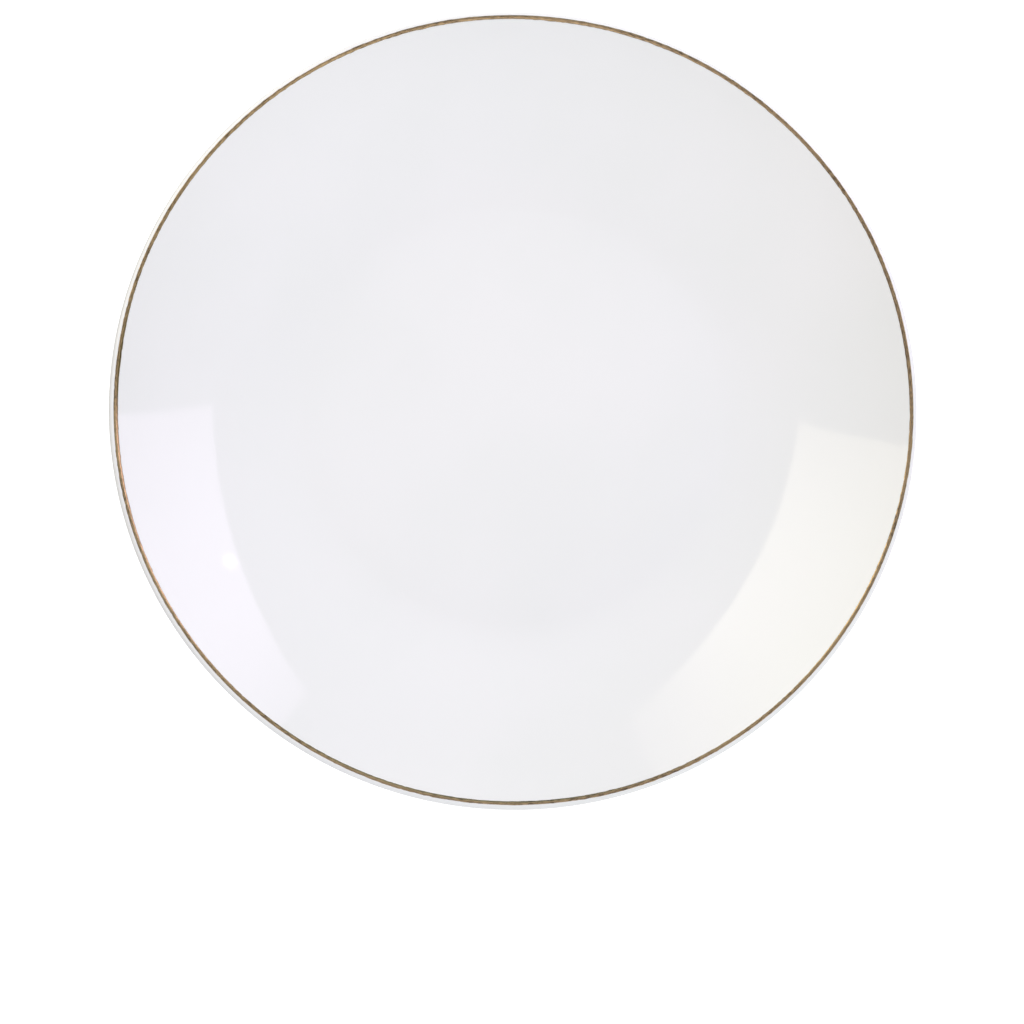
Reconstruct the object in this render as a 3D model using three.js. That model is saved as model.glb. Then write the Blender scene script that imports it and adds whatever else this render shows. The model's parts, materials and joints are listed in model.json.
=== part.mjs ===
// A coupe dinner plate in white glazed porcelain with a fired gold line on its lip.
// Millimetres, +Z up. The origin is the centre of the foot ring, on the surface the plate stands on.
import * as THREE from 'three';

// ---- Driving dimensions of the finished, glazed plate ----
const PLATE_DIAMETER = 267;
const PLATE_HEIGHT = 32.5;
const WALL_THICKNESS = 3.3; // at the rounded lip
const WALL_THICKNESS_AT_WELL = 4.2; // the wall grows to this where the face levels out
const LIP_SLOPE = THREE.MathUtils.degToRad(38); // steepness of the wall where it meets the lip

const BASE_THICKNESS = 3.4; // under the well, inside the foot ring
const WELL_DIAMETER = 140; // the level middle of the face
const FACE_FULLNESS = 0.55; // 0 cuts straight up to the lip, 1 keeps the well level for longer

const FOOT_DIAMETER = 168; // where the foot ring leaves the underside
const FOOT_TAPER = 2.2; // how far the outside of the foot draws in on its way down
const FOOT_RECESS_DEPTH = 2; // inside, from the tread to the recess
const TREAD_WIDTH = 2.6;
const TREAD_ROUNDING = 0.4;
const RECESS_DRAFT = 0.6; // how far the inside of the foot draws in on its way up

const GLAZE_THICKNESS = 0.22;
const GLAZE_CLEARANCE = 0.04; // between the fired clay and the glaze modelled over it
const BARE_FOOT_HEIGHT = 0.8; // clay wiped clean of glaze above the tread

const GOLD_WIDTH = 1.3; // along the curve of the lip
const GOLD_THICKNESS = 0.06;
const GOLD_CLEARANCE = 0.03;
const GOLD_LEAN = THREE.MathUtils.degToRad(4); // how far the line's middle sits inside the crest

// ---- How finely the round shapes are divided ----
const AROUND = 96;
const FACE_STEPS = 9;
const WALL_STEPS = 8;
const LIP_STEPS = 7;
const CORNER_STEPS = 2;
const GOLD_STEPS = 4;
const HALVINGS = 40; // of the wall's length, to find where the foot ring meets it

// ---- Sizes that follow from the ones above ----
const COAT = GLAZE_THICKNESS + GLAZE_CLEARANCE;
const GOLD_PROUD = GOLD_THICKNESS + GOLD_CLEARANCE;
const WELL_LEVEL = FOOT_RECESS_DEPTH + BASE_THICKNESS;
const LIP_RADIUS = WALL_THICKNESS / 2;
const LIP_CENTRE = new THREE.Vector2(
  PLATE_DIAMETER / 2 - LIP_RADIUS,
  PLATE_HEIGHT - GOLD_PROUD - LIP_RADIUS,
);
const TREAD_OUTER = FOOT_DIAMETER / 2 - FOOT_TAPER;
const TREAD_INNER = TREAD_OUTER - TREAD_WIDTH;

// ---- Outline helpers: every outline is radius along x and height along y ----

const alongSlope = (slope, length) =>
  new THREE.Vector2(Math.cos(slope), Math.sin(slope)).multiplyScalar(length);

/** A point on the lip's round edge. The angle is 0 at the crest and grows outwards. */
function onLip(angle, radius) {
  return new THREE.Vector2(
    LIP_CENTRE.x + radius * Math.sin(angle),
    LIP_CENTRE.y + radius * Math.cos(angle),
  );
}

/** The face, from the lip down to the edge of the level well. */
function makeFaceCurve() {
  const lipEnd = onLip(-LIP_SLOPE, LIP_RADIUS);
  const wellEdge = new THREE.Vector2(WELL_DIAMETER / 2, WELL_LEVEL);
  const fullDrop = lipEnd.y - wellEdge.y;
  const straightRun = fullDrop / Math.tan(LIP_SLOPE);
  const levelRun = Math.max(lipEnd.x - straightRun - wellEdge.x, 0);
  const lipHandle = alongSlope(LIP_SLOPE, (FACE_FULLNESS * fullDrop) / Math.sin(LIP_SLOPE));
  const wellHandle = new THREE.Vector2(FACE_FULLNESS * levelRun, 0);
  return new THREE.CubicBezierCurve(
    lipEnd,
    lipEnd.clone().sub(lipHandle),
    wellEdge.clone().add(wellHandle),
    wellEdge,
  );
}

const FACE_CURVE = makeFaceCurve();

/** A point at a depth below the face, at a share of the way from the lip to the well. */
function belowFace(share, depth) {
  const tangent = FACE_CURVE.getTangent(share);
  const inward = new THREE.Vector2(-tangent.y, tangent.x).multiplyScalar(depth);
  return FACE_CURVE.getPoint(share).add(inward);
}

/** A point at a depth inside the underside, which follows the face one wall thickness below it. */
function insideUnderside(share, depth) {
  const thickness = THREE.MathUtils.lerp(WALL_THICKNESS, WALL_THICKNESS_AT_WELL, share);
  return belowFace(share, thickness - depth);
}

/** How far along the wall, from the lip, the outside of the foot ring meets the underside. */
function findFootShare() {
  let nearer = 0;
  let farther = 1;
  for (let i = 0; i < HALVINGS; i += 1) {
    const middle = (nearer + farther) / 2;
    if (insideUnderside(middle, 0).x > FOOT_DIAMETER / 2) {
      nearer = middle;
    } else {
      farther = middle;
    }
  }
  return farther;
}

const FOOT_SHARE = findFootShare();
const FOOT_HEIGHT = insideUnderside(FOOT_SHARE, 0).y;

/** The face's outline under the finished surface, from the lip to the edge of the well. */
function faceOutline(depth) {
  const points = [];
  for (let i = 0; i <= FACE_STEPS; i += 1) {
    points.push(belowFace(i / FACE_STEPS, depth));
  }
  return points;
}

/** The underside's outline under the finished surface, from the root of the foot to the lip. */
function undersideOutline(depth) {
  const points = [];
  for (let i = WALL_STEPS; i >= 0; i -= 1) {
    points.push(insideUnderside((FOOT_SHARE * i) / WALL_STEPS, depth));
  }
  return points;
}

/** The lip's round edge, from the underside over the crest to the face. */
function lipArc(depth) {
  const points = [];
  for (let i = 1; i < LIP_STEPS; i += 1) {
    const angle = THREE.MathUtils.lerp(Math.PI - LIP_SLOPE, -LIP_SLOPE, i / LIP_STEPS);
    points.push(onLip(angle, LIP_RADIUS - depth));
  }
  return points;
}

/** From the foot's root, out along the underside, over the lip and in to the middle of the face. */
function upperOutline(depth) {
  return [
    ...undersideOutline(depth),
    ...lipArc(depth),
    ...faceOutline(depth),
    new THREE.Vector2(0, WELL_LEVEL - depth),
  ];
}

/** The outside of the foot at a height, measured under the finished surface. */
function footOutside(height, depth) {
  const lean = Math.atan2(FOOT_TAPER, FOOT_HEIGHT);
  const radius = TREAD_OUTER + height * Math.tan(lean) - depth / Math.cos(lean);
  return new THREE.Vector2(radius, height);
}

/** The inside of the foot at a height, measured under the finished surface. */
function footInside(height, depth) {
  const lean = Math.atan2(RECESS_DRAFT, FOOT_RECESS_DEPTH);
  const radius = TREAD_INNER - height * Math.tan(lean) + depth / Math.cos(lean);
  return new THREE.Vector2(radius, height);
}

/** A rounded corner between two points, bulging towards the corner that they share. */
function roundedCorner(from, corner, to) {
  return new THREE.QuadraticBezierCurve(from, corner, to).getPoints(CORNER_STEPS);
}

// ---- Sub-parts ----

/** Turns an outline around the plate's axis and stands that axis upright. */
function turned(outline) {
  return new THREE.LatheGeometry(outline, AROUND).rotateX(Math.PI / 2);
}

function piece(name, outline, material) {
  const mesh = new THREE.Mesh(turned(outline), new THREE.MeshStandardMaterial(material));
  mesh.name = name;
  return mesh;
}

/** The fired clay, with its foot ring turned in one with it and left bare on the tread. */
function porcelainBody() {
  const innerEdge = new THREE.Vector2(footInside(0, COAT).x, 0);
  const outerEdge = new THREE.Vector2(footOutside(0, COAT).x, 0);
  const inOnTread = new THREE.Vector2(innerEdge.x + TREAD_ROUNDING, 0);
  const outOnTread = new THREE.Vector2(outerEdge.x - TREAD_ROUNDING, 0);
  const recessLevel = FOOT_RECESS_DEPTH + COAT;
  return piece(
    'porcelain_body',
    [
      new THREE.Vector2(0, recessLevel),
      footInside(recessLevel, COAT),
      ...roundedCorner(footInside(TREAD_ROUNDING, COAT), innerEdge, inOnTread),
      ...roundedCorner(outOnTread, outerEdge, footOutside(TREAD_ROUNDING, COAT)),
      ...upperOutline(COAT),
    ],
    { color: 0xefebe4, roughness: 0.75, metalness: 0 },
  );
}

/** One unbroken coat over the face, the lip, the underside and the outside of the foot. */
function glazeCoat() {
  return piece(
    'glaze_coat',
    [
      ...upperOutline(GLAZE_THICKNESS).reverse(),
      footOutside(BARE_FOOT_HEIGHT, GLAZE_THICKNESS),
      footOutside(BARE_FOOT_HEIGHT, 0),
      ...upperOutline(0),
    ],
    { color: 0xf7f7f5, roughness: 0.08, metalness: 0 },
  );
}

/** The glaze inside the foot ring, which the bare tread keeps apart from the main coat. */
function footRecessGlaze() {
  const upperLevel = FOOT_RECESS_DEPTH + GLAZE_THICKNESS;
  return piece(
    'foot_recess_glaze',
    [
      new THREE.Vector2(0, FOOT_RECESS_DEPTH),
      footInside(FOOT_RECESS_DEPTH, 0),
      footInside(BARE_FOOT_HEIGHT, 0),
      footInside(BARE_FOOT_HEIGHT, GLAZE_THICKNESS),
      footInside(upperLevel, GLAZE_THICKNESS),
      new THREE.Vector2(0, upperLevel),
    ],
    { color: 0xf4f4f1, roughness: 0.1, metalness: 0 },
  );
}

/** The fired gold line, banded over the glaze just inside the crest of the lip. */
function goldRimLine() {
  const inner = -GOLD_LEAN - GOLD_WIDTH / LIP_RADIUS / 2;
  const outer = -GOLD_LEAN + GOLD_WIDTH / LIP_RADIUS / 2;
  const band = (radius) => {
    const points = [];
    for (let i = 0; i <= GOLD_STEPS; i += 1) {
      points.push(onLip(THREE.MathUtils.lerp(inner, outer, i / GOLD_STEPS), radius));
    }
    return points;
  };
  const under = band(LIP_RADIUS + GOLD_CLEARANCE);
  const over = band(LIP_RADIUS + GOLD_PROUD).reverse();
  return piece('gold_rim_line', [...under, ...over, under[0].clone()], {
    color: 0xcfa35a,
    roughness: 0.25,
    metalness: 1,
  });
}

const dinnerPlate = new THREE.Group();
dinnerPlate.add(porcelainBody(), glazeCoat(), footRecessGlaze(), goldRimLine());

export default dinnerPlate;
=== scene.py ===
"""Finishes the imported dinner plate: glazed porcelain with a fired gold line on its lip.

Metres, +Z up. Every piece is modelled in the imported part's own frame, around the plate's axis.
"""

import json
import math

import bpy
from bpy.props import FloatProperty, FloatVectorProperty, IntProperty, PointerProperty
from bpy.types import Operator, Panel, PropertyGroup
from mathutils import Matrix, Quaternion, Vector


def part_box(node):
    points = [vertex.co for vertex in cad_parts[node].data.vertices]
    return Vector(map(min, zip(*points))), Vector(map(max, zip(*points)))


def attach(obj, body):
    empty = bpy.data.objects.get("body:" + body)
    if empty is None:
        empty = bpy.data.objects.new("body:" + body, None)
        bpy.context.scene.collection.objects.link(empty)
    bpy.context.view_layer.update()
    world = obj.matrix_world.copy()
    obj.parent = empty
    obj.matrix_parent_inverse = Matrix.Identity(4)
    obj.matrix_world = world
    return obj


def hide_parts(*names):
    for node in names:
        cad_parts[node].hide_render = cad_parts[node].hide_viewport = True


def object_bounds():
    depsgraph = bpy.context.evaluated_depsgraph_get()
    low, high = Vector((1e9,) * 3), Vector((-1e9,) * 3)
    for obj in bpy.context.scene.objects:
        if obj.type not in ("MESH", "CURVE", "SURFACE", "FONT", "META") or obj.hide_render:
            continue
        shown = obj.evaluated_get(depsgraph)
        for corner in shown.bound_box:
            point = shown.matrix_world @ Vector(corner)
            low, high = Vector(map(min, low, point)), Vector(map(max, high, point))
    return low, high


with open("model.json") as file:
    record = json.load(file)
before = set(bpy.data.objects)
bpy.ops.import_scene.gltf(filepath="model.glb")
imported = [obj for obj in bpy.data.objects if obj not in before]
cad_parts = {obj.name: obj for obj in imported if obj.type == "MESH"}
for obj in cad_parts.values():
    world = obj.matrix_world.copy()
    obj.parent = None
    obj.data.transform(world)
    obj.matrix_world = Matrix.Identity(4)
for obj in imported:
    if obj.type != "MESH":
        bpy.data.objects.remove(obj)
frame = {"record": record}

bl_info = {
    "name": "Gilt Coupe Plate",
    "version": (1, 0, 0),
    "blender": (4, 5, 0),
    "location": "3D View > Sidebar > Plate",
    "description": "Models and finishes a glazed coupe plate with a gold line, and sets its studio",
    "category": "Object",
}

CAD_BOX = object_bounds()

BODY = "root"
_, GLAZE_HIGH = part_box("glaze_coat")
RECESS_LOW, RECESS_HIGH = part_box("foot_recess_glaze")
MOUNTS = {mount["name"]: mount for mount in frame["record"]["mounts"]}

MM = 0.001
GLAZE_THICKNESS = 0.22 * MM
MERGE_DISTANCE = 0.001 * MM
SMOOTH_ANGLE = math.radians(40)
WARP_GROUP = "wall"
WARP_EASE = 1.5               # how late in its reach the wall starts to sink
GOLD_STEPS_ACROSS = 10
GOLD_STEPS_AROUND = 3         # for each step round the rest of the plate
WANDER_SIZE = 70 * MM
FRAY_SIZE = 1.5 * MM


# ---------------------------------------------------------------------------
# Settings
# ---------------------------------------------------------------------------

def length(name, description, default):
    return FloatProperty(
        name=name, description=description, default=default, min=0, precision=5, unit="LENGTH"
    )


def angle(name, description, degrees):
    return FloatProperty(
        name=name, description=description, default=math.radians(degrees), subtype="ANGLE"
    )


def colour(name, description, default, top=1.0):
    return FloatVectorProperty(
        name=name, description=description, default=default, min=0, max=top, size=3, subtype="COLOR"
    )


def factor(name, description, default, top=1.0):
    return FloatProperty(name=name, description=description, default=default, min=0, max=top)


class PLATE_PG_sizes(PropertyGroup):
    """The finished plate's sizes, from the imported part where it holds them."""

    radius: length("Radius", "From the axis to the outside of the lip", GLAZE_HIGH.x)
    crest: length("Crest", "Height of the glazed lip above the table", GLAZE_HIGH.z)
    wall: length("Wall", "Thickness of the wall at the rounded lip", 3.3 * MM)
    wall_at_well: length("Wall at well", "Thickness where the face levels out", 4.2 * MM)
    lip_slope: angle("Lip slope", "Steepness of the wall where it meets the lip", 38)
    well_radius: length("Well radius", "Edge of the level middle of the face", 70 * MM)
    well_level: length("Well level", "Height of the well's face", MOUNTS["well_face"]["pos_m"][2])
    fullness: factor("Fullness", "How long the face stays level before it rises", 0.55)
    foot_radius: length("Foot radius", "Where the foot ring leaves the underside", 84 * MM)
    foot_taper: length("Foot taper", "How far the foot draws in on its way down", 2.2 * MM)
    tread: length("Tread", "Width of the ring that the plate stands on", 2.6 * MM)
    tread_rounding: length("Tread rounding", "Softening of the tread's two edges", 0.4 * MM)
    recess: length("Recess", "Depth inside the foot ring", RECESS_HIGH.z - GLAZE_THICKNESS)
    recess_draft: length("Recess draft", "How far the recess draws in on its way up", 0.6 * MM)
    bare_foot: length("Bare foot", "Height of clay wiped clean of glaze", RECESS_LOW.z)
    glaze: length("Glaze", "Thickness of the glaze", GLAZE_THICKNESS)
    glaze_gap: length("Glaze gap", "Between the fired clay and the glaze over it", 0.04 * MM)
    glaze_roll: length("Glaze roll", "How far the glaze swells at its wiped edge", 0.05 * MM)
    glaze_pool: length("Glaze pool", "Softening where glaze gathers in a corner", 1.1 * MM)
    gold_width: length("Gold width", "Width of the gold line along the lip", 1.3 * MM)
    gold_lean: angle("Gold lean", "How far the line's middle sits inside the crest", 13)
    gold_thickness: length("Gold thickness", "Thickness of the gold line", 0.06 * MM)
    gold_gap: length("Gold gap", "Between the glaze and the gold over it", 0.03 * MM)
    gold_lift: length("Gold lift", "How high the line is held before it is laid on the lip", 1.2 * MM)
    gold_runout: length("Gold runout", "How far the banding wheel was off centre", 0.35 * MM)
    gold_wander: length("Gold wander", "How far the line wanders on its way round", 0.9 * MM)
    gold_fray: length("Gold fray", "How far the line's edges stray as the brush runs dry", 0.3 * MM)
    kiln_warp: length("Kiln warp", "How far the wall sank in the firing", 0.35 * MM)
    warp_size: length("Warp size", "Distance from one sunk stretch to the next", 110 * MM)
    steps_around: IntProperty(
        name="Steps around", description="Steps in a full turn", default=288, min=96, max=512
    )


class PLATE_PG_finishes(PropertyGroup):
    """Colours and gloss of the plate's materials."""

    glaze: colour("Glaze", "White glaze", (0.853, 0.847, 0.858))
    glaze_shade: colour("Glaze shade", "Where the glaze fired slightly deeper", (0.835, 0.835, 0.84))
    glaze_roughness: factor("Glaze roughness", "Of the clean glaze", 0.045)
    clay: colour("Clay", "Bare fired porcelain", (0.80, 0.77, 0.70))
    clay_stain: colour("Clay stain", "Grey rubbed into the tread", (0.50, 0.47, 0.42))
    clay_roughness: factor("Clay roughness", "Of the bare tread", 0.62)
    gold: colour("Gold", "Fired gold where it is thickest", (0.42, 0.30, 0.165))
    gold_thin: colour("Thin gold", "Fired gold where the brush ran dry", (0.12, 0.086, 0.055))
    gold_roughness: factor("Gold roughness", "Of the burnished gold", 0.13)


class PLATE_PG_studio(PropertyGroup):
    """The floor, the lights and the camera."""

    floor: colour("Floor", "Pale floor", (0.90, 0.90, 0.90))
    floor_left: colour("Floor on the left", "Dim stretch that gives the lip an edge", (0.03, 0.03, 0.03))
    table_light: factor("Table light", "Light that the floor throws up under the plate", 0.3, 2)
    floor_glow: factor("Floor glow", "Light that lifts the floor to clean white", 0.4, 2)
    ceiling: colour("Ceiling", "Light from above", (0.672, 0.657, 0.728), 4)
    front_wall: colour("Front wall", "Light from the front, by the camera's foot", (1.12, 1.14, 1.15), 4)
    back_wall: colour("Back wall", "Light from behind the plate", (0.33, 0.46, 0.50), 4)
    right_wall: colour("Right wall", "Light from the right", (0.23, 0.28, 0.13), 4)
    backdrop: colour("Backdrop", "What the camera sees behind the plate", (1, 1, 1))
    box_distance: length("Softbox distance", "From the plate to each softbox", 1.1)
    warm_light: colour("Warm softbox", "Colour of the softbox behind on the left", (1.0, 0.91, 0.70))
    warm_level: factor("Warm level", "Brightness of the warm softbox", 2.6, 10)
    cool_light: colour("Cool softbox", "Colour of the softbox behind on the right", (0.93, 0.75, 1.0))
    cool_level: factor("Cool level", "Brightness of the cool softbox", 2.4, 10)
    lamp_level: factor("Lamp level", "Brightness of the lamp in the cool softbox", 4, 10)
    view_turn: angle("View turn", "The camera's place round the plate", -7.66)
    view_lift: angle("View lift", "The camera's height above the horizon", 80.72)
    view_roll: angle("View roll", "The camera's roll about its own line of sight", 8.99)
    view_distance: length("View distance", "From the plate's centre to the camera", 1.1)
    view_drop: length("View drop", "How far in front of the plate the camera aims", 33.9 * MM)
    view_slide: length("View slide", "How far left of the plate's middle the camera aims", 0.5 * MM)
    lens: FloatProperty(name="Lens", description="Focal length in millimetres", default=115.45)


# ---------------------------------------------------------------------------
# The plate's half outline: radius along x and height along y
# ---------------------------------------------------------------------------

WELL_SHARES = (0.93, 0.84, 0.72, 0.58, 0.42, 0.26, 0.12, 0.04, 0)   # of the way out from the axis
FOOT_SEARCH_STEPS = 40


def bezier(anchors, share):
    """The point and the direction of travel at a share of the way along a cubic curve."""
    a, b, c, d = anchors
    rest = 1 - share
    point = a * rest**3 + b * 3 * rest**2 * share + c * 3 * rest * share**2 + d * share**3
    heading = (b - a) * rest**2 + (c - b) * 2 * rest * share + (d - c) * share**2
    return point, heading.normalized()


class Outline:
    """Points on and under the plate's finished surface. Depths are measured into the plate."""

    def __init__(self, sizes):
        self.sizes = sizes
        self.lip_radius = sizes.wall / 2
        self.lip_centre = Vector((sizes.radius - self.lip_radius, sizes.crest - self.lip_radius))
        self.face_anchors = self._face_anchors()
        self.foot_share = self._foot_share()
        self.foot_height = self.inside_underside(self.foot_share, 0).y
        self.tread_outer = sizes.foot_radius - sizes.foot_taper
        self.tread_inner = self.tread_outer - sizes.tread

    def on_lip(self, turn, radius):
        """A point round the lip's edge. The turn is 0 at the crest and grows outwards."""
        return self.lip_centre + Vector((math.sin(turn), math.cos(turn))) * radius

    def _face_anchors(self):
        s = self.sizes
        lip_end = self.on_lip(-s.lip_slope, self.lip_radius)
        well_edge = Vector((s.well_radius, s.well_level))
        drop = lip_end.y - well_edge.y
        level_run = max(lip_end.x - drop / math.tan(s.lip_slope) - well_edge.x, 0)
        along_lip = Vector((math.cos(s.lip_slope), math.sin(s.lip_slope)))
        lip_handle = along_lip * (s.fullness * drop / math.sin(s.lip_slope))
        well_handle = Vector((s.fullness * level_run, 0))
        return lip_end, lip_end - lip_handle, well_edge + well_handle, well_edge

    def below_face(self, share, depth):
        """Under the face, at a share of the way from the lip to the well."""
        point, heading = bezier(self.face_anchors, share)
        return point + Vector((-heading.y, heading.x)) * depth

    def inside_underside(self, share, depth):
        """Inside the underside, which follows the face one wall thickness below it."""
        wall = self.sizes.wall + (self.sizes.wall_at_well - self.sizes.wall) * share
        return self.below_face(share, wall - depth)

    def _foot_share(self):
        nearer, farther = 0.0, 1.0
        for _ in range(FOOT_SEARCH_STEPS):
            middle = (nearer + farther) / 2
            if self.inside_underside(middle, 0).x > self.sizes.foot_radius:
                nearer = middle
            else:
                farther = middle
        return farther

    def foot_outside(self, height, depth):
        lean = math.atan2(self.sizes.foot_taper, self.foot_height)
        radius = self.tread_outer + height * math.tan(lean) - depth / math.cos(lean)
        return Vector((radius, height))

    def foot_inside(self, height, depth):
        lean = math.atan2(self.sizes.recess_draft, self.sizes.recess)
        radius = self.tread_inner - height * math.tan(lean) + depth / math.cos(lean)
        return Vector((radius, height))

    def underside(self, depth, steps, start=1.0):
        """From the foot's root, or a share of the way along from it, out to the lip."""
        reach = self.foot_share * start
        return [self.inside_underside(reach * (1 - i / steps), depth) for i in range(steps + 1)]

    def lip(self, depth, steps):
        """Round the lip from the underside over the crest to the face, without its two ends."""
        slope = self.sizes.lip_slope
        turns = [math.pi - slope - math.pi * i / steps for i in range(1, steps)]
        return [self.on_lip(turn, self.lip_radius - depth) for turn in turns]

    def face(self, depth, steps):
        """From the lip down to the edge of the well, and in across the well to the axis."""
        wall = [self.below_face(i / steps, depth) for i in range(steps + 1)]
        level = self.sizes.well_level - depth
        well = [Vector((self.sizes.well_radius * share, level)) for share in WELL_SHARES]
        return wall + well


def rounded(start, corner, end, steps):
    """A soft corner: points along a curve from start to end that bulges towards the corner."""
    points = []
    for i in range(steps + 1):
        share = i / steps
        points.append(start * (1 - share) ** 2 + corner * 2 * share * (1 - share) + end * share**2)
    return points


def glaze_roll(side, sizes, steps=8):
    """The wiped edge of the glaze on one side of the foot, from the finished surface inwards."""
    swell = sizes.glaze_roll
    reach = (sizes.glaze + swell) / 2
    points = []
    for i in range(steps + 1):
        turn = math.pi * i / steps
        height = sizes.bare_foot + reach * (1 - math.sin(turn))
        depth = (sizes.glaze - swell) / 2 - reach * math.cos(turn)
        points.append(side(height, depth))
    return points


# ---------------------------------------------------------------------------
# Modelling steps
# ---------------------------------------------------------------------------

def draw(name, points):
    """Draws an outline in the X-Z plane, one extruded step after another, and stays in edit mode."""
    bpy.ops.object.select_all(action="DESELECT")
    bpy.ops.mesh.primitive_plane_add(size=MM, enter_editmode=True, location=(0, 0, 0))
    piece = bpy.context.object
    piece.name = name
    piece.data.name = name
    bpy.ops.mesh.select_all(action="SELECT")
    bpy.ops.mesh.merge(type="CENTER")
    bpy.ops.transform.translate(value=(points[0].x, 0, points[0].y))
    for here, there in zip(points, points[1:]):
        step = there - here
        bpy.ops.mesh.extrude_region_move(TRANSFORM_OT_translate={"value": (step.x, 0, step.y)})
    return piece


def throw(piece, steps):
    """Turns the drawn outline once round the plate's axis and closes its seam and poles."""
    bpy.ops.mesh.select_all(action="SELECT")
    bpy.ops.mesh.spin(steps=steps, angle=math.tau, center=(0, 0, 0), axis=(0, 0, 1))
    bpy.ops.mesh.select_all(action="SELECT")
    bpy.ops.mesh.remove_doubles(threshold=MERGE_DISTANCE)
    bpy.ops.mesh.normals_make_consistent(inside=False)
    bpy.ops.mesh.select_all(action="DESELECT")
    bpy.ops.object.mode_set(mode="OBJECT")
    bpy.ops.object.shade_smooth_by_angle(angle=SMOOTH_ANGLE)
    return piece


def apply_modifier(piece, modifier):
    bpy.context.view_layer.objects.active = piece
    bpy.ops.object.modifier_apply(modifier=modifier.name)


def cloud_texture(name, size, kind="GRAYSCALE"):
    texture = bpy.data.textures.get(name) or bpy.data.textures.new(name, "CLOUDS")
    texture.noise_scale = size
    texture.noise_depth = 0
    texture.cloud_type = kind
    return texture


def sink_in_kiln(piece, sizes):
    """Lets the wall sink a little between the foot ring and the lip, as it does in the firing."""
    group = piece.vertex_groups.new(name=WARP_GROUP)
    reach = sizes.radius - sizes.foot_radius
    for vertex in piece.data.vertices:
        out = math.hypot(vertex.co.x, vertex.co.y) - sizes.foot_radius
        if out > 0:
            group.add([vertex.index], min(out / reach, 1) ** WARP_EASE, "REPLACE")
    sag = piece.modifiers.new("kiln_warp", "DISPLACE")
    sag.texture = cloud_texture("kiln_warp", sizes.warp_size)
    sag.texture_coords = "LOCAL"
    sag.direction = "Z"
    sag.vertex_group = WARP_GROUP
    sag.mid_level = 0
    sag.strength = -sizes.kiln_warp
    apply_modifier(piece, sag)
    piece.vertex_groups.clear()


def finish_piece(piece, node, material):
    """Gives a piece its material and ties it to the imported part."""
    piece.data.materials.clear()
    piece.data.materials.append(material)
    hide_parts(node)
    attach(piece, BODY)


# ---------------------------------------------------------------------------
# Shader helpers
# ---------------------------------------------------------------------------

AXIS_GUARD = 1e-12            # keeps the distance from the axis above zero


def place(tree, kind, **values):
    """Adds a node. Keywords name its inputs, or its settings where it has no such input."""
    node = tree.nodes.new(kind)
    for key, value in values.items():
        socket = key.replace("_", " ").title()
        if socket in node.inputs:
            node.inputs[socket].default_value = value
        else:
            setattr(node, key, value)
    return node


def maths(tree, operation, first, second=None):
    """A Math node on sockets or numbers."""
    node = tree.nodes.new("ShaderNodeMath")
    node.operation = operation
    for socket, value in zip(node.inputs, (first, second)):
        if isinstance(value, (int, float)):
            socket.default_value = value
        elif value is not None:
            tree.links.new(value, socket)
    return node.outputs[0]


def remap(tree, value, low, high, to_low=0.0, to_high=1.0):
    """A Map Range node that eases from one range to another."""
    node = tree.nodes.new("ShaderNodeMapRange")
    node.interpolation_type = "SMOOTHSTEP"
    tree.links.new(value, node.inputs["Value"])
    for name, number in zip(("From Min", "From Max", "To Min", "To Max"), (low, high, to_low, to_high)):
        node.inputs[name].default_value = number
    return node.outputs["Result"]


def blend_colours(tree, amount, first, second):
    """Mixes two colours, each a socket or a plain colour."""
    node = tree.nodes.new("ShaderNodeMix")
    node.data_type = "RGBA"
    for name, value in (("Factor_Float", amount), ("A_Color", first), ("B_Color", second)):
        socket = next(s for s in node.inputs if s.identifier == name)
        if isinstance(value, bpy.types.NodeSocket):
            tree.links.new(value, socket)
        elif isinstance(value, (int, float)):
            socket.default_value = value
        else:
            socket.default_value = (*value, 1)
    return next(s for s in node.outputs if s.identifier == "Result_Color")


def new_group(name, inputs, outputs):
    """An empty shader group with named inputs and outputs, and its two end nodes."""
    tree = bpy.data.node_groups.new(name, "ShaderNodeTree")
    for label, kind, default in inputs:
        socket = tree.interface.new_socket(name=label, in_out="INPUT", socket_type=kind)
        socket.default_value = default
    for label, kind in outputs:
        tree.interface.new_socket(name=label, in_out="OUTPUT", socket_type=kind)
    return tree, tree.nodes.new("NodeGroupInput"), tree.nodes.new("NodeGroupOutput")


def use_group(tree, group, **values):
    """Places a shared effect in a material with that material's own values."""
    node = tree.nodes.new("ShaderNodeGroup")
    node.node_tree = group
    for key, value in values.items():
        node.inputs[key.replace("_", " ").capitalize()].default_value = value
    return node


def noise_on(tree, vector, scale, detail=2.0, roughness=0.5):
    node = place(tree, "ShaderNodeTexNoise", detail=detail, roughness=roughness)
    tree.links.new(vector, node.inputs["Vector"])
    if isinstance(scale, (int, float)):
        node.inputs["Scale"].default_value = scale
    else:
        tree.links.new(scale, node.inputs["Scale"])
    return node.outputs["Fac"]


def object_point(tree):
    return tree.nodes.new("ShaderNodeTexCoord").outputs["Object"]


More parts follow.
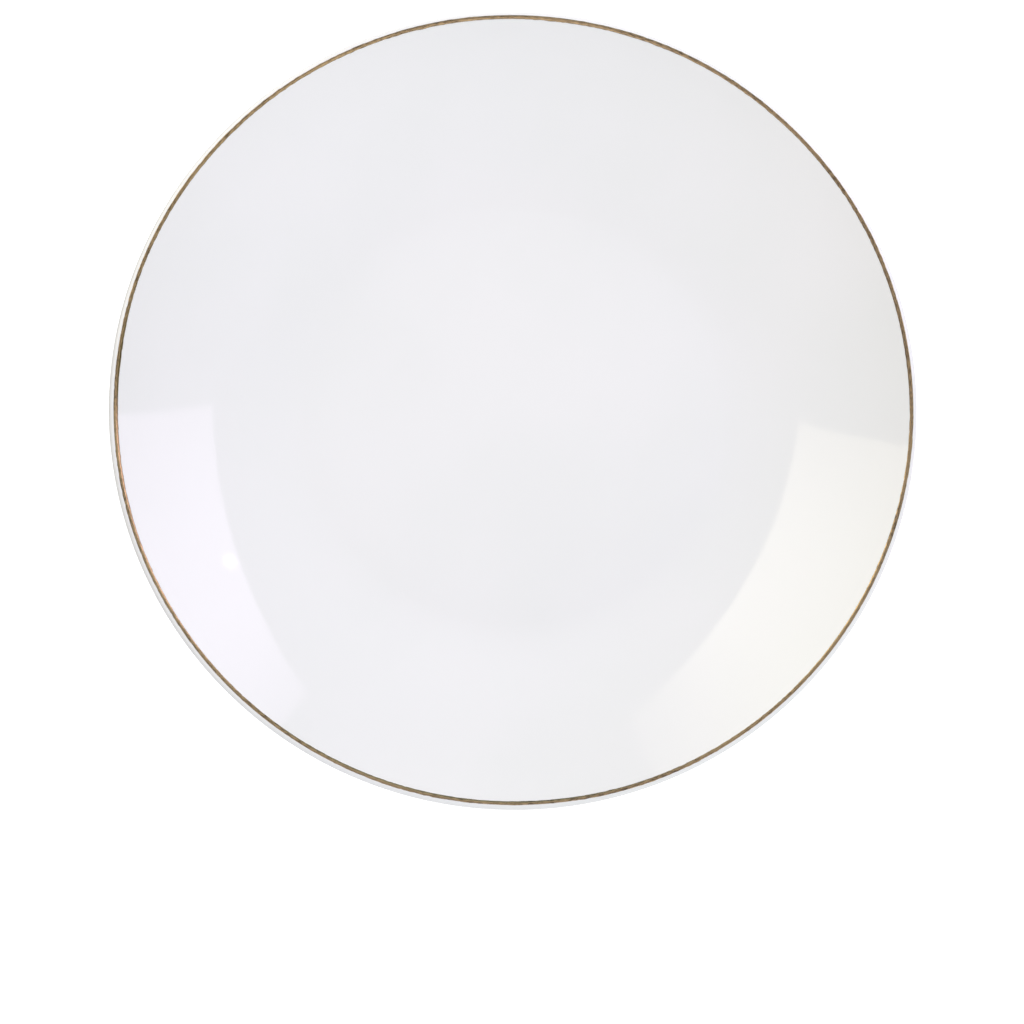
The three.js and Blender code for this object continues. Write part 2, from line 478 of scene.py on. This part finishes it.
def rim_point(tree, fineness_along, fineness_across):
    """A seamless point that runs round the plate.

    A pattern read at that point is drawn out along the turning direction.
    """
    split = tree.nodes.new("ShaderNodeSeparateXYZ")
    tree.links.new(object_point(tree), split.inputs[0])
    square = maths(tree, "ADD", maths(tree, "MULTIPLY", split.outputs[0], split.outputs[0]),
                   maths(tree, "MULTIPLY", split.outputs[1], split.outputs[1]))
    radius = maths(tree, "SQRT", maths(tree, "ADD", square, AXIS_GUARD))
    join = tree.nodes.new("ShaderNodeCombineXYZ")
    for axis in (0, 1):
        heading = maths(tree, "DIVIDE", split.outputs[axis], radius)
        tree.links.new(maths(tree, "MULTIPLY", heading, fineness_along), join.inputs[axis])
    across = maths(tree, "ADD", radius, split.outputs[2])
    tree.links.new(maths(tree, "MULTIPLY", across, fineness_across), join.inputs[2])
    return join.outputs[0]


# ---------------------------------------------------------------------------
# Shared effects. A pattern's scale is its repeats to the metre, and a pair is the two ends of a fade.
# ---------------------------------------------------------------------------

TONE_FADE = (0.35, 0.7)
RIPPLE_SCALE = 45
FINE_RIPPLE_SCALE = 420
FINE_RIPPLE_SHARE = 0.12
HAIRLINES = ((0.4, 900.0), (1.7, 1100.0), (2.9, 800.0))   # direction, and scale across the lines
HAIRLINE_SCALE_ALONG = 12
HAIRLINE_FADE = (0.70, 0.78)
WORN_PATCH_SCALE = 30
WORN_PATCH_FADE = (0.45, 0.7)
WORN_ROUGHNESS = 0.10
HAZE_SCALE = 18
HAZE_ROUGHNESS = 0.02
RING_FADE = (0.4, 0.65)


def fired_tone_group():
    """A cloudy drift between two tones, as fired surfaces have."""
    tree, given, result = new_group(
        "Fired tone",
        [
            ("Tone", "NodeSocketColor", (1, 1, 1, 1)),
            ("Deep tone", "NodeSocketColor", (1, 1, 1, 1)),
            ("Size", "NodeSocketFloat", 12.0),
        ],
        [("Color", "NodeSocketColor")],
    )
    drift = noise_on(tree, object_point(tree), given.outputs["Size"], detail=3)
    eased = remap(tree, drift, *TONE_FADE)
    tree.links.new(blend_colours(tree, eased, given.outputs["Tone"], given.outputs["Deep tone"]),
                   result.inputs["Color"])
    return tree


def glaze_skin_group():
    """The glaze's surface: a slow ripple, a fine one, and faint hairlines from use."""
    tree, given, result = new_group(
        "Glaze skin",
        [
            ("Roughness", "NodeSocketFloat", 0.05),
            ("Hairlines", "NodeSocketFloat", 1.0),
        ],
        [("Height", "NodeSocketFloat"), ("Roughness", "NodeSocketFloat")],
    )
    point = object_point(tree)
    slow = noise_on(tree, point, RIPPLE_SCALE, detail=1)
    fine = noise_on(tree, point, FINE_RIPPLE_SCALE, detail=2)
    ripple = maths(tree, "ADD", slow, maths(tree, "MULTIPLY", fine, FINE_RIPPLE_SHARE))
    lines = None
    for turn, scale_across in HAIRLINES:
        turned = place(tree, "ShaderNodeMapping")
        turned.inputs["Rotation"].default_value = (0, 0, turn)
        turned.inputs["Scale"].default_value = (
            HAIRLINE_SCALE_ALONG, scale_across, HAIRLINE_SCALE_ALONG
        )
        tree.links.new(point, turned.inputs["Vector"])
        streak = remap(tree, noise_on(tree, turned.outputs[0], 1.0, detail=1), *HAIRLINE_FADE)
        lines = streak if lines is None else maths(tree, "MAXIMUM", lines, streak)
    patches = remap(tree, noise_on(tree, point, WORN_PATCH_SCALE, detail=2), *WORN_PATCH_FADE)
    worn = maths(tree, "MULTIPLY", maths(tree, "MULTIPLY", lines, patches), given.outputs["Hairlines"])
    haze = maths(tree, "MULTIPLY", noise_on(tree, point, HAZE_SCALE, detail=3), HAZE_ROUGHNESS)
    rough = maths(tree, "ADD", given.outputs["Roughness"], haze)
    scuffed = maths(tree, "MULTIPLY", worn, WORN_ROUGHNESS)
    tree.links.new(maths(tree, "ADD", rough, scuffed), result.inputs["Roughness"])
    tree.links.new(ripple, result.inputs["Height"])
    return tree


def turned_rings_group():
    """Fine rings left by turning or banding, drawn out round the plate."""
    tree, given, result = new_group(
        "Turned rings",
        [("Along", "NodeSocketFloat", 20.0), ("Across", "NodeSocketFloat", 3000.0)],
        [("Height", "NodeSocketFloat"), ("Mask", "NodeSocketFloat")],
    )
    point = rim_point(tree, given.outputs["Along"], given.outputs["Across"])
    rings = noise_on(tree, point, 1.0, detail=3, roughness=0.6)
    tree.links.new(rings, result.inputs["Height"])
    tree.links.new(remap(tree, rings, *RING_FADE), result.inputs["Mask"])
    return tree


def shared(name, make):
    """A shared effect, built the first time that a material asks for it."""
    return bpy.data.node_groups.get(name) or make()


# ---------------------------------------------------------------------------
# Materials
# ---------------------------------------------------------------------------

GLAZE_IOR = 1.52
GLAZE_RELIEF = 0.02 * MM
CLAY_RELIEF = 0.03 * MM
CLAY_DEEP_SHARE = 0.93        # of the clay's colour, where it fired deeper
GRAIN_SCALE = 5200
RUBBED_FROM, RUBBED_TO = 0.02 * MM, 0.35 * MM
RUBBED_SHARE = 0.45
RUBBED_POLISH = -0.12
GOLD_RELIEF = 0.012 * MM
DRY_SCALE = 30
DRY_FADE = (0.35, 0.6)
LEAST_THIN = 0.45
THIN_ROUGHNESS = 0.12


def new_material(name):
    material = bpy.data.materials.new(name)
    material.use_nodes = True
    tree = material.node_tree
    shader = tree.nodes["Principled BSDF"]
    return material, tree, shader


def add_bump(tree, shader, height, depth):
    bump = tree.nodes.new("ShaderNodeBump")
    bump.inputs["Distance"].default_value = depth
    bump.inputs["Strength"].default_value = 1.0
    tree.links.new(height, bump.inputs["Height"])
    tree.links.new(bump.outputs["Normal"], shader.inputs["Normal"])


def white_glaze(name, finishes, hairlines, ring_depth):
    """White glaze over faint turning rings, with hairlines from use."""
    material, tree, shader = new_material(name)
    tone = use_group(tree, shared("Fired tone", fired_tone_group), Size=14.0)
    tone.inputs["Tone"].default_value = (*finishes.glaze, 1)
    tone.inputs["Deep tone"].default_value = (*finishes.glaze_shade, 1)
    tree.links.new(tone.outputs["Color"], shader.inputs["Base Color"])
    skin = use_group(tree, shared("Glaze skin", glaze_skin_group),
                     Roughness=finishes.glaze_roughness, Hairlines=hairlines)
    tree.links.new(skin.outputs["Roughness"], shader.inputs["Roughness"])
    rings = use_group(tree, shared("Turned rings", turned_rings_group), Along=2.0, Across=420.0)
    height = maths(tree, "ADD", skin.outputs["Height"],
                   maths(tree, "MULTIPLY", rings.outputs["Height"], ring_depth))
    add_bump(tree, shader, height, GLAZE_RELIEF)
    shader.inputs["IOR"].default_value = GLAZE_IOR
    return material


def bare_clay(finishes):
    """Unglazed porcelain: matt and finely grained, with grey rubbed into the tread."""
    material, tree, shader = new_material("bare_porcelain")
    tone = use_group(tree, shared("Fired tone", fired_tone_group), Size=60.0)
    tone.inputs["Tone"].default_value = (*finishes.clay, 1)
    deep = (channel * CLAY_DEEP_SHARE for channel in finishes.clay)
    tone.inputs["Deep tone"].default_value = (*deep, 1)
    split = tree.nodes.new("ShaderNodeSeparateXYZ")
    tree.links.new(object_point(tree), split.inputs[0])
    low = remap(tree, split.outputs[2], RUBBED_FROM, RUBBED_TO, 1.0, 0.0)
    rings = use_group(tree, shared("Turned rings", turned_rings_group), Along=9.0, Across=5000.0)
    on_rings = maths(tree, "MULTIPLY", low, rings.outputs["Mask"])
    rubbed = maths(tree, "MULTIPLY", on_rings, RUBBED_SHARE)
    tree.links.new(blend_colours(tree, rubbed, tone.outputs["Color"], finishes.clay_stain),
                   shader.inputs["Base Color"])
    polish = maths(tree, "MULTIPLY", low, RUBBED_POLISH)
    tree.links.new(maths(tree, "ADD", polish, finishes.clay_roughness), shader.inputs["Roughness"])
    grain = noise_on(tree, object_point(tree), GRAIN_SCALE, detail=3)
    height = maths(tree, "ADD", grain, rings.outputs["Height"])
    add_bump(tree, shader, height, CLAY_RELIEF)
    return material


def fired_gold(finishes):
    """Burnished gold, thinner and browner along its brush marks and where the brush ran dry."""
    material, tree, shader = new_material("fired_gold")
    rings = use_group(tree, shared("Turned rings", turned_rings_group), Along=70.0, Across=3500.0)
    dry = noise_on(tree, object_point(tree), DRY_SCALE, detail=3)
    dryness = remap(tree, dry, *DRY_FADE, LEAST_THIN, 1.0)
    thin = maths(tree, "MULTIPLY", rings.outputs["Mask"], dryness)
    tree.links.new(blend_colours(tree, thin, finishes.gold, finishes.gold_thin),
                   shader.inputs["Base Color"])
    shader.inputs["Metallic"].default_value = 1.0
    dulled = maths(tree, "MULTIPLY", thin, THIN_ROUGHNESS)
    roughness = maths(tree, "ADD", dulled, finishes.gold_roughness)
    tree.links.new(roughness, shader.inputs["Roughness"])
    add_bump(tree, shader, rings.outputs["Height"], GOLD_RELIEF)
    return material


# ---------------------------------------------------------------------------
# Pieces
# ---------------------------------------------------------------------------

class PLATE_OT_fired_clay(Operator):
    """Model the fired clay body with its foot ring, bare on the tread"""

    bl_idname = "plate.fired_clay"
    bl_label = "Fired Clay"

    def execute(self, context):
        sizes = context.scene.plate_sizes
        outline = Outline(sizes)
        coat = sizes.glaze + sizes.glaze_gap
        soft = sizes.tread_rounding
        recess_level = sizes.recess + coat
        inner = outline.foot_inside(0, coat)
        outer = outline.foot_outside(0, coat)
        points = [Vector((0, recess_level))]
        points += rounded(outline.foot_inside(recess_level, coat + soft),
                          outline.foot_inside(recess_level, coat),
                          outline.foot_inside(recess_level - soft, coat), steps=3)
        points += rounded(outline.foot_inside(soft, coat), inner, inner + Vector((soft, 0)),
                          steps=5)
        points += rounded(outer - Vector((soft, 0)), outer, outline.foot_outside(soft, coat),
                          steps=5)
        points += outline.underside(coat, steps=20)
        points += outline.lip(coat, steps=12)
        points += outline.face(coat, steps=24)
        piece = throw(draw("fired_clay", points), sizes.steps_around)
        sink_in_kiln(piece, sizes)
        finish_piece(piece, "porcelain_body", bare_clay(context.scene.plate_finishes))
        return {"FINISHED"}


class PLATE_OT_main_glaze(Operator):
    """Model the coat of glaze over the face, the lip, the underside and the outside of the foot"""

    bl_idname = "plate.main_glaze"
    bl_label = "Main Glaze"

    def execute(self, context):
        sizes = context.scene.plate_sizes
        outline = Outline(sizes)
        under = outline.underside(sizes.glaze, steps=16)
        under += outline.lip(sizes.glaze, steps=12)
        under += outline.face(sizes.glaze, steps=20)
        pool_share = 1 - sizes.glaze_pool / (sizes.radius - sizes.foot_radius)
        pool_end = outline.inside_underside(outline.foot_share * pool_share, 0)
        root = outline.inside_underside(outline.foot_share, 0)
        side = outline.foot_outside(root.y - sizes.glaze_pool, 0)
        points = under[::-1]
        points += glaze_roll(outline.foot_outside, sizes)[::-1]
        points += rounded(side, root, pool_end, steps=8)
        points += outline.underside(0, steps=44, start=pool_share)[1:]
        points += outline.lip(0, steps=30)
        points += outline.face(0, steps=48)
        piece = throw(draw("main_glaze", points), sizes.steps_around)
        sink_in_kiln(piece, sizes)
        material = white_glaze("white_glaze", context.scene.plate_finishes,
                               hairlines=0.35, ring_depth=0.15)
        finish_piece(piece, "glaze_coat", material)
        return {"FINISHED"}


class PLATE_OT_recess_glaze(Operator):
    """Model the glaze inside the foot ring"""

    bl_idname = "plate.recess_glaze"
    bl_label = "Recess Glaze"

    def execute(self, context):
        sizes = context.scene.plate_sizes
        outline = Outline(sizes)
        upper = sizes.recess + sizes.glaze
        pool = sizes.glaze_pool / 2
        reach = outline.foot_inside(sizes.recess, 0).x
        points = [Vector((reach * share, sizes.recess)) for share in WELL_SHARES[::-1]]
        points += rounded(Vector((reach - pool, sizes.recess)),
                          outline.foot_inside(sizes.recess, 0),
                          outline.foot_inside(sizes.recess - pool, 0), steps=6)
        points += glaze_roll(outline.foot_inside, sizes)
        points += [outline.foot_inside(upper, sizes.glaze), Vector((0, upper))]
        piece = throw(draw("recess_glaze", points), sizes.steps_around)
        material = white_glaze("recess_glaze", context.scene.plate_finishes,
                               hairlines=0.1, ring_depth=0.9)
        finish_piece(piece, "foot_recess_glaze", material)
        return {"FINISHED"}


class PLATE_OT_gold_line(Operator):
    """Band the gold line on the lip, by a brush on a slightly off-centre wheel"""

    bl_idname = "plate.gold_line"
    bl_label = "Gold Line"

    def execute(self, context):
        sizes = context.scene.plate_sizes
        outline = Outline(sizes)
        half = sizes.gold_width / sizes.wall
        edge = -sizes.gold_lean - half
        turns = [edge + 2 * half * i / GOLD_STEPS_ACROSS for i in range(GOLD_STEPS_ACROSS + 1)]
        above = outline.lip_radius + sizes.gold_lift
        piece = draw("gold_line", [outline.on_lip(turn, above) for turn in turns])
        throw(piece, GOLD_STEPS_AROUND * sizes.steps_around)
        self.wander(piece, sizes)
        self.lay_on_lip(piece, sizes)
        material = fired_gold(context.scene.plate_finishes)
        finish_piece(piece, "gold_rim_line", material)
        return {"FINISHED"}

    def wander(self, piece, sizes):
        """Moves the line off centre, and lets it wander as a brushed line does."""
        bpy.ops.object.mode_set(mode="EDIT")
        bpy.ops.mesh.select_all(action="SELECT")
        bpy.ops.transform.translate(value=(sizes.gold_runout, 0, 0))
        bpy.ops.object.mode_set(mode="OBJECT")
        strays = (
            ("wander", WANDER_SIZE, sizes.gold_wander),
            ("fray", FRAY_SIZE, sizes.gold_fray),
        )
        for name, size, strength in strays:
            brush = piece.modifiers.new(name, "DISPLACE")
            brush.texture = cloud_texture(name, size, "COLOR")
            brush.texture_coords = "LOCAL"
            brush.direction = "RGB_TO_XYZ"
            brush.strength = strength
            apply_modifier(piece, brush)

    def lay_on_lip(self, piece, sizes):
        """Lays the line on the glaze and gives it its thickness."""
        wrap = piece.modifiers.new("lay_on_lip", "SHRINKWRAP")
        wrap.target = bpy.data.objects["main_glaze"]
        wrap.wrap_method = "NEAREST_SURFACEPOINT"
        wrap.wrap_mode = "ABOVE_SURFACE"
        wrap.offset = sizes.gold_gap
        apply_modifier(piece, wrap)
        shell = piece.modifiers.new("thickness", "SOLIDIFY")
        shell.thickness = sizes.gold_thickness
        shell.offset = 1
        apply_modifier(piece, shell)


# ---------------------------------------------------------------------------
# Studio. A softbox's ends, bottom and top are shares of its distance from the plate.
# ---------------------------------------------------------------------------

FLOOR_SIZE = 10
FLOOR_ROUGHNESS = 0.9
DIM_FLOOR_EDGE = (-0.19, -0.14)        # where the floor on the left turns from dim to pale
UNDER_PLATE = (0.09, 0.13)             # where the light under the plate gives way to the open floor's
OPEN_FLOOR_LIGHT = 0.1
CEILING_FADE = (0.35, 0.85)
OPEN_SIDE_FADE = (-1.0, -0.7)
BACKDROP_LEVEL = 1.05
SOFTBOX_FADE = (0.05, 0.62)
COOL_PLACE = {"facing": math.radians(-3), "near": 0.275, "far": 1.88, "bottom": 0.06, "top": 1.15}
COOL_SHADE = {"hot_spot": 0.39, "fade": 0.45}
WARM_PLACE = {"facing": math.radians(165), "near": -1.72, "far": -0.04, "bottom": 0.06, "top": 1.32}
WARM_SHADE = {"hot_spot": 0.66, "fade": 0.25}
LAMP_PLACE = (1.056, 0.83, 1.08)
LAMP_WIDTH, LAMP_HEIGHT = 0.05, 0.09


def pale_floor(settings):
    """A clean floor: white to the camera with a soft trace of shadow. To everything else it is pale, but
    nearly black on the left, and it glows as a light, brightest under the plate.
    """
    material, tree, shader = new_material("pale_floor")
    rays = tree.nodes.new("ShaderNodeLightPath")
    seen = rays.outputs["Is Camera Ray"]
    split = tree.nodes.new("ShaderNodeSeparateXYZ")
    tree.links.new(object_point(tree), split.inputs[0])
    pale = remap(tree, split.outputs[0], *DIM_FLOOR_EDGE)
    bounce = blend_colours(tree, pale, settings.floor_left, settings.floor)
    tree.links.new(blend_colours(tree, seen, bounce, settings.floor), shader.inputs["Base Color"])
    shader.inputs["Roughness"].default_value = FLOOR_ROUGHNESS
    shader.inputs["Specular IOR Level"].default_value = 0.0
    glow = place(tree, "ShaderNodeEmission", color=(1, 1, 1, 1))
    radius = place(tree, "ShaderNodeVectorMath", operation="LENGTH")
    tree.links.new(object_point(tree), radius.inputs[0])
    under = remap(tree, radius.outputs["Value"], *UNDER_PLATE, settings.table_light, OPEN_FLOOR_LIGHT)
    thrown_up = maths(tree, "MULTIPLY", pale, under)
    to_camera = maths(tree, "MULTIPLY", seen, settings.floor_glow)
    tree.links.new(maths(tree, "MAXIMUM", to_camera, thrown_up), glow.inputs["Strength"])
    both = tree.nodes.new("ShaderNodeAddShader")
    tree.links.new(shader.outputs[0], both.inputs[0])
    tree.links.new(glow.outputs[0], both.inputs[1])
    tree.links.new(both.outputs[0], tree.nodes["Material Output"].inputs["Surface"])
    return material


def add_wall(tree, total, facing, tint):
    """One wall's light, its colour times how far a direction faces it, on top of the total so far."""
    node = tree.nodes.new("ShaderNodeVectorMath")
    node.operation = "MULTIPLY_ADD"
    tree.links.new(facing, node.inputs[0])
    node.inputs[1].default_value = tint
    if total is not None:
        tree.links.new(total, node.inputs[2])
    return node.outputs[0]


def studio_world(settings):
    """A room with a pale ceiling and three pale walls, behind a white backdrop."""
    world = bpy.data.worlds.new("studio")
    world.use_nodes = True
    tree = world.node_tree
    backdrop = tree.nodes["Background"]
    room = tree.nodes.new("ShaderNodeBackground")
    split = tree.nodes.new("ShaderNodeSeparateXYZ")
    tree.links.new(tree.nodes.new("ShaderNodeTexCoord").outputs["Generated"], split.inputs[0])
    across, away, up = split.outputs
    towards = maths(tree, "MAXIMUM", maths(tree, "MULTIPLY", away, -1.0), 0.0)
    beyond = maths(tree, "MAXIMUM", away, 0.0)
    open_side = remap(tree, across, *OPEN_SIDE_FADE)
    light = add_wall(tree, None, remap(tree, up, *CEILING_FADE), settings.ceiling)
    light = add_wall(tree, light, maths(tree, "MULTIPLY", towards, open_side), settings.front_wall)
    light = add_wall(tree, light, maths(tree, "MULTIPLY", beyond, open_side), settings.back_wall)
    light = add_wall(tree, light, maths(tree, "MAXIMUM", across, 0.0), settings.right_wall)
    tree.links.new(light, room.inputs["Color"])
    backdrop.inputs["Color"].default_value = (*settings.backdrop, 1)
    backdrop.inputs["Strength"].default_value = BACKDROP_LEVEL
    rays = tree.nodes.new("ShaderNodeLightPath")
    choice = tree.nodes.new("ShaderNodeMixShader")
    tree.links.new(rays.outputs["Is Camera Ray"], choice.inputs[0])
    tree.links.new(room.outputs[0], choice.inputs[1])
    tree.links.new(backdrop.outputs[0], choice.inputs[2])
    tree.links.new(choice.outputs[0], tree.nodes["World Output"].inputs["Surface"])
    return world


def shade_softbox(panel, hot_spot, fade):
    """Fades a softbox from its brightest line, at a share of its width, towards its two ends."""
    panel.data.use_nodes = True
    tree = panel.data.node_tree
    split = tree.nodes.new("ShaderNodeSeparateXYZ")
    tree.links.new(tree.nodes.new("ShaderNodeNewGeometry").outputs["Parametric"], split.inputs[0])
    away = maths(tree, "ABSOLUTE", maths(tree, "SUBTRACT", split.outputs[0], hot_spot))
    dimming = remap(tree, away, *SOFTBOX_FADE, 1.0, fade)
    tree.links.new(dimming, tree.nodes["Emission"].inputs["Strength"])


def add_softbox(name, distance, tint, level, facing, near, far, bottom, top):
    """A softbox panel that stands at a compass direction from the plate.

    It runs from near to far along its own plane and from bottom to top, each as a share of its
    distance from the plate.
    """
    outward = Vector((math.cos(facing), math.sin(facing), 0))
    along = Vector((-outward.y, outward.x, 0))
    width, height = abs(far - near) * distance, (top - bottom) * distance
    centre = (outward + along * ((near + far) / 2)) * distance
    centre.z = (top + bottom) / 2 * distance
    bpy.ops.object.light_add(type="AREA", location=centre)
    panel = bpy.context.object
    panel.name = name
    panel.rotation_euler = (-outward).to_track_quat("-Z", "Y").to_euler()
    panel.data.shape = "RECTANGLE"
    panel.data.size, panel.data.size_y = width, height
    panel.data.color = tint
    panel.data.energy = level * math.pi * width * height
    panel.visible_camera = False
    return panel


def add_lamp(settings):
    """The bare lamp that shines through the cool softbox near its upper edge."""
    bpy.ops.object.light_add(type="AREA", location=LAMP_PLACE)
    lamp = bpy.context.object
    lamp.name = "lamp"
    lamp.rotation_euler = (-lamp.location).to_track_quat("-Z", "Y").to_euler()
    lamp.data.shape = "ELLIPSE"
    lamp.data.size, lamp.data.size_y = LAMP_WIDTH, LAMP_HEIGHT
    lamp.data.energy = settings.lamp_level * math.pi**2 * LAMP_WIDTH * LAMP_HEIGHT / 4
    lamp.visible_camera = False


class PLATE_OT_studio(Operator):
    """Set the floor, the soft lights and the camera"""

    bl_idname = "plate.studio"
    bl_label = "Studio"

    def execute(self, context):
        settings = context.scene.plate_studio
        bpy.ops.object.select_all(action="DESELECT")
        bpy.ops.mesh.primitive_plane_add(size=FLOOR_SIZE, location=(0, 0, CAD_BOX[0].z))
        floor = context.object
        floor.name = "floor"
        bpy.ops.object.transform_apply(location=True)
        floor.data.materials.append(pale_floor(settings))
        context.scene.world = studio_world(settings)
        cool = add_softbox("cool_softbox", settings.box_distance, settings.cool_light,
                           settings.cool_level, **COOL_PLACE)
        shade_softbox(cool, **COOL_SHADE)
        warm = add_softbox("warm_softbox", settings.box_distance, settings.warm_light,
                           settings.warm_level, **WARM_PLACE)
        shade_softbox(warm, **WARM_SHADE)
        add_lamp(settings)
        self.set_camera(context, settings)
        context.scene.view_settings.view_transform = "Standard"
        return {"FINISHED"}

    def set_camera(self, context, settings):
        turn, lift = settings.view_turn, settings.view_lift
        away = Vector((
            math.sin(turn) * math.cos(lift),
            -math.cos(turn) * math.cos(lift),
            math.sin(lift),
        ))
        centre = (CAD_BOX[0] + CAD_BOX[1]) / 2
        place_at = centre + away * settings.view_distance
        aim = centre + Vector((-settings.view_slide, -settings.view_drop, 0))
        bpy.ops.object.camera_add(location=place_at)
        camera = context.object
        camera.name = "camera"
        look = (aim - place_at).to_track_quat("-Z", "Y")
        camera.rotation_euler = (look @ Quaternion((0, 0, 1), settings.view_roll)).to_euler()
        camera.data.lens = settings.lens
        context.scene.camera = camera


class PLATE_PT_panel(Panel):
    """The plate's settings and pieces in the 3D view's sidebar"""

    bl_label = "Gilt Coupe Plate"
    bl_idname = "PLATE_PT_panel"
    bl_space_type = "VIEW_3D"
    bl_region_type = "UI"
    bl_category = "Plate"

    def draw(self, context):
        scene = context.scene
        for settings in (scene.plate_sizes, scene.plate_finishes, scene.plate_studio):
            box = self.layout.box()
            for name in settings.__annotations__:
                box.prop(settings, name)
        for operator in OPERATORS:
            self.layout.operator(operator.bl_idname)


GROUPS = (PLATE_PG_sizes, PLATE_PG_finishes, PLATE_PG_studio)
OPERATORS = (
    PLATE_OT_fired_clay,
    PLATE_OT_main_glaze,
    PLATE_OT_recess_glaze,
    PLATE_OT_gold_line,
    PLATE_OT_studio,
)


def register():
    for cls in (*GROUPS, *OPERATORS, PLATE_PT_panel):
        bpy.utils.register_class(cls)
    bpy.types.Scene.plate_sizes = PointerProperty(type=PLATE_PG_sizes)
    bpy.types.Scene.plate_finishes = PointerProperty(type=PLATE_PG_finishes)
    bpy.types.Scene.plate_studio = PointerProperty(type=PLATE_PG_studio)


def unregister():
    del bpy.types.Scene.plate_studio
    del bpy.types.Scene.plate_finishes
    del bpy.types.Scene.plate_sizes
    for cls in reversed((*GROUPS, *OPERATORS, PLATE_PT_panel)):
        bpy.utils.unregister_class(cls)


def main():
    register()
    bpy.ops.plate.fired_clay()
    bpy.ops.plate.main_glaze()
    bpy.ops.plate.recess_glaze()
    bpy.ops.plate.gold_line()
    bpy.ops.plate.studio()


if __name__ == "__main__":
    main()
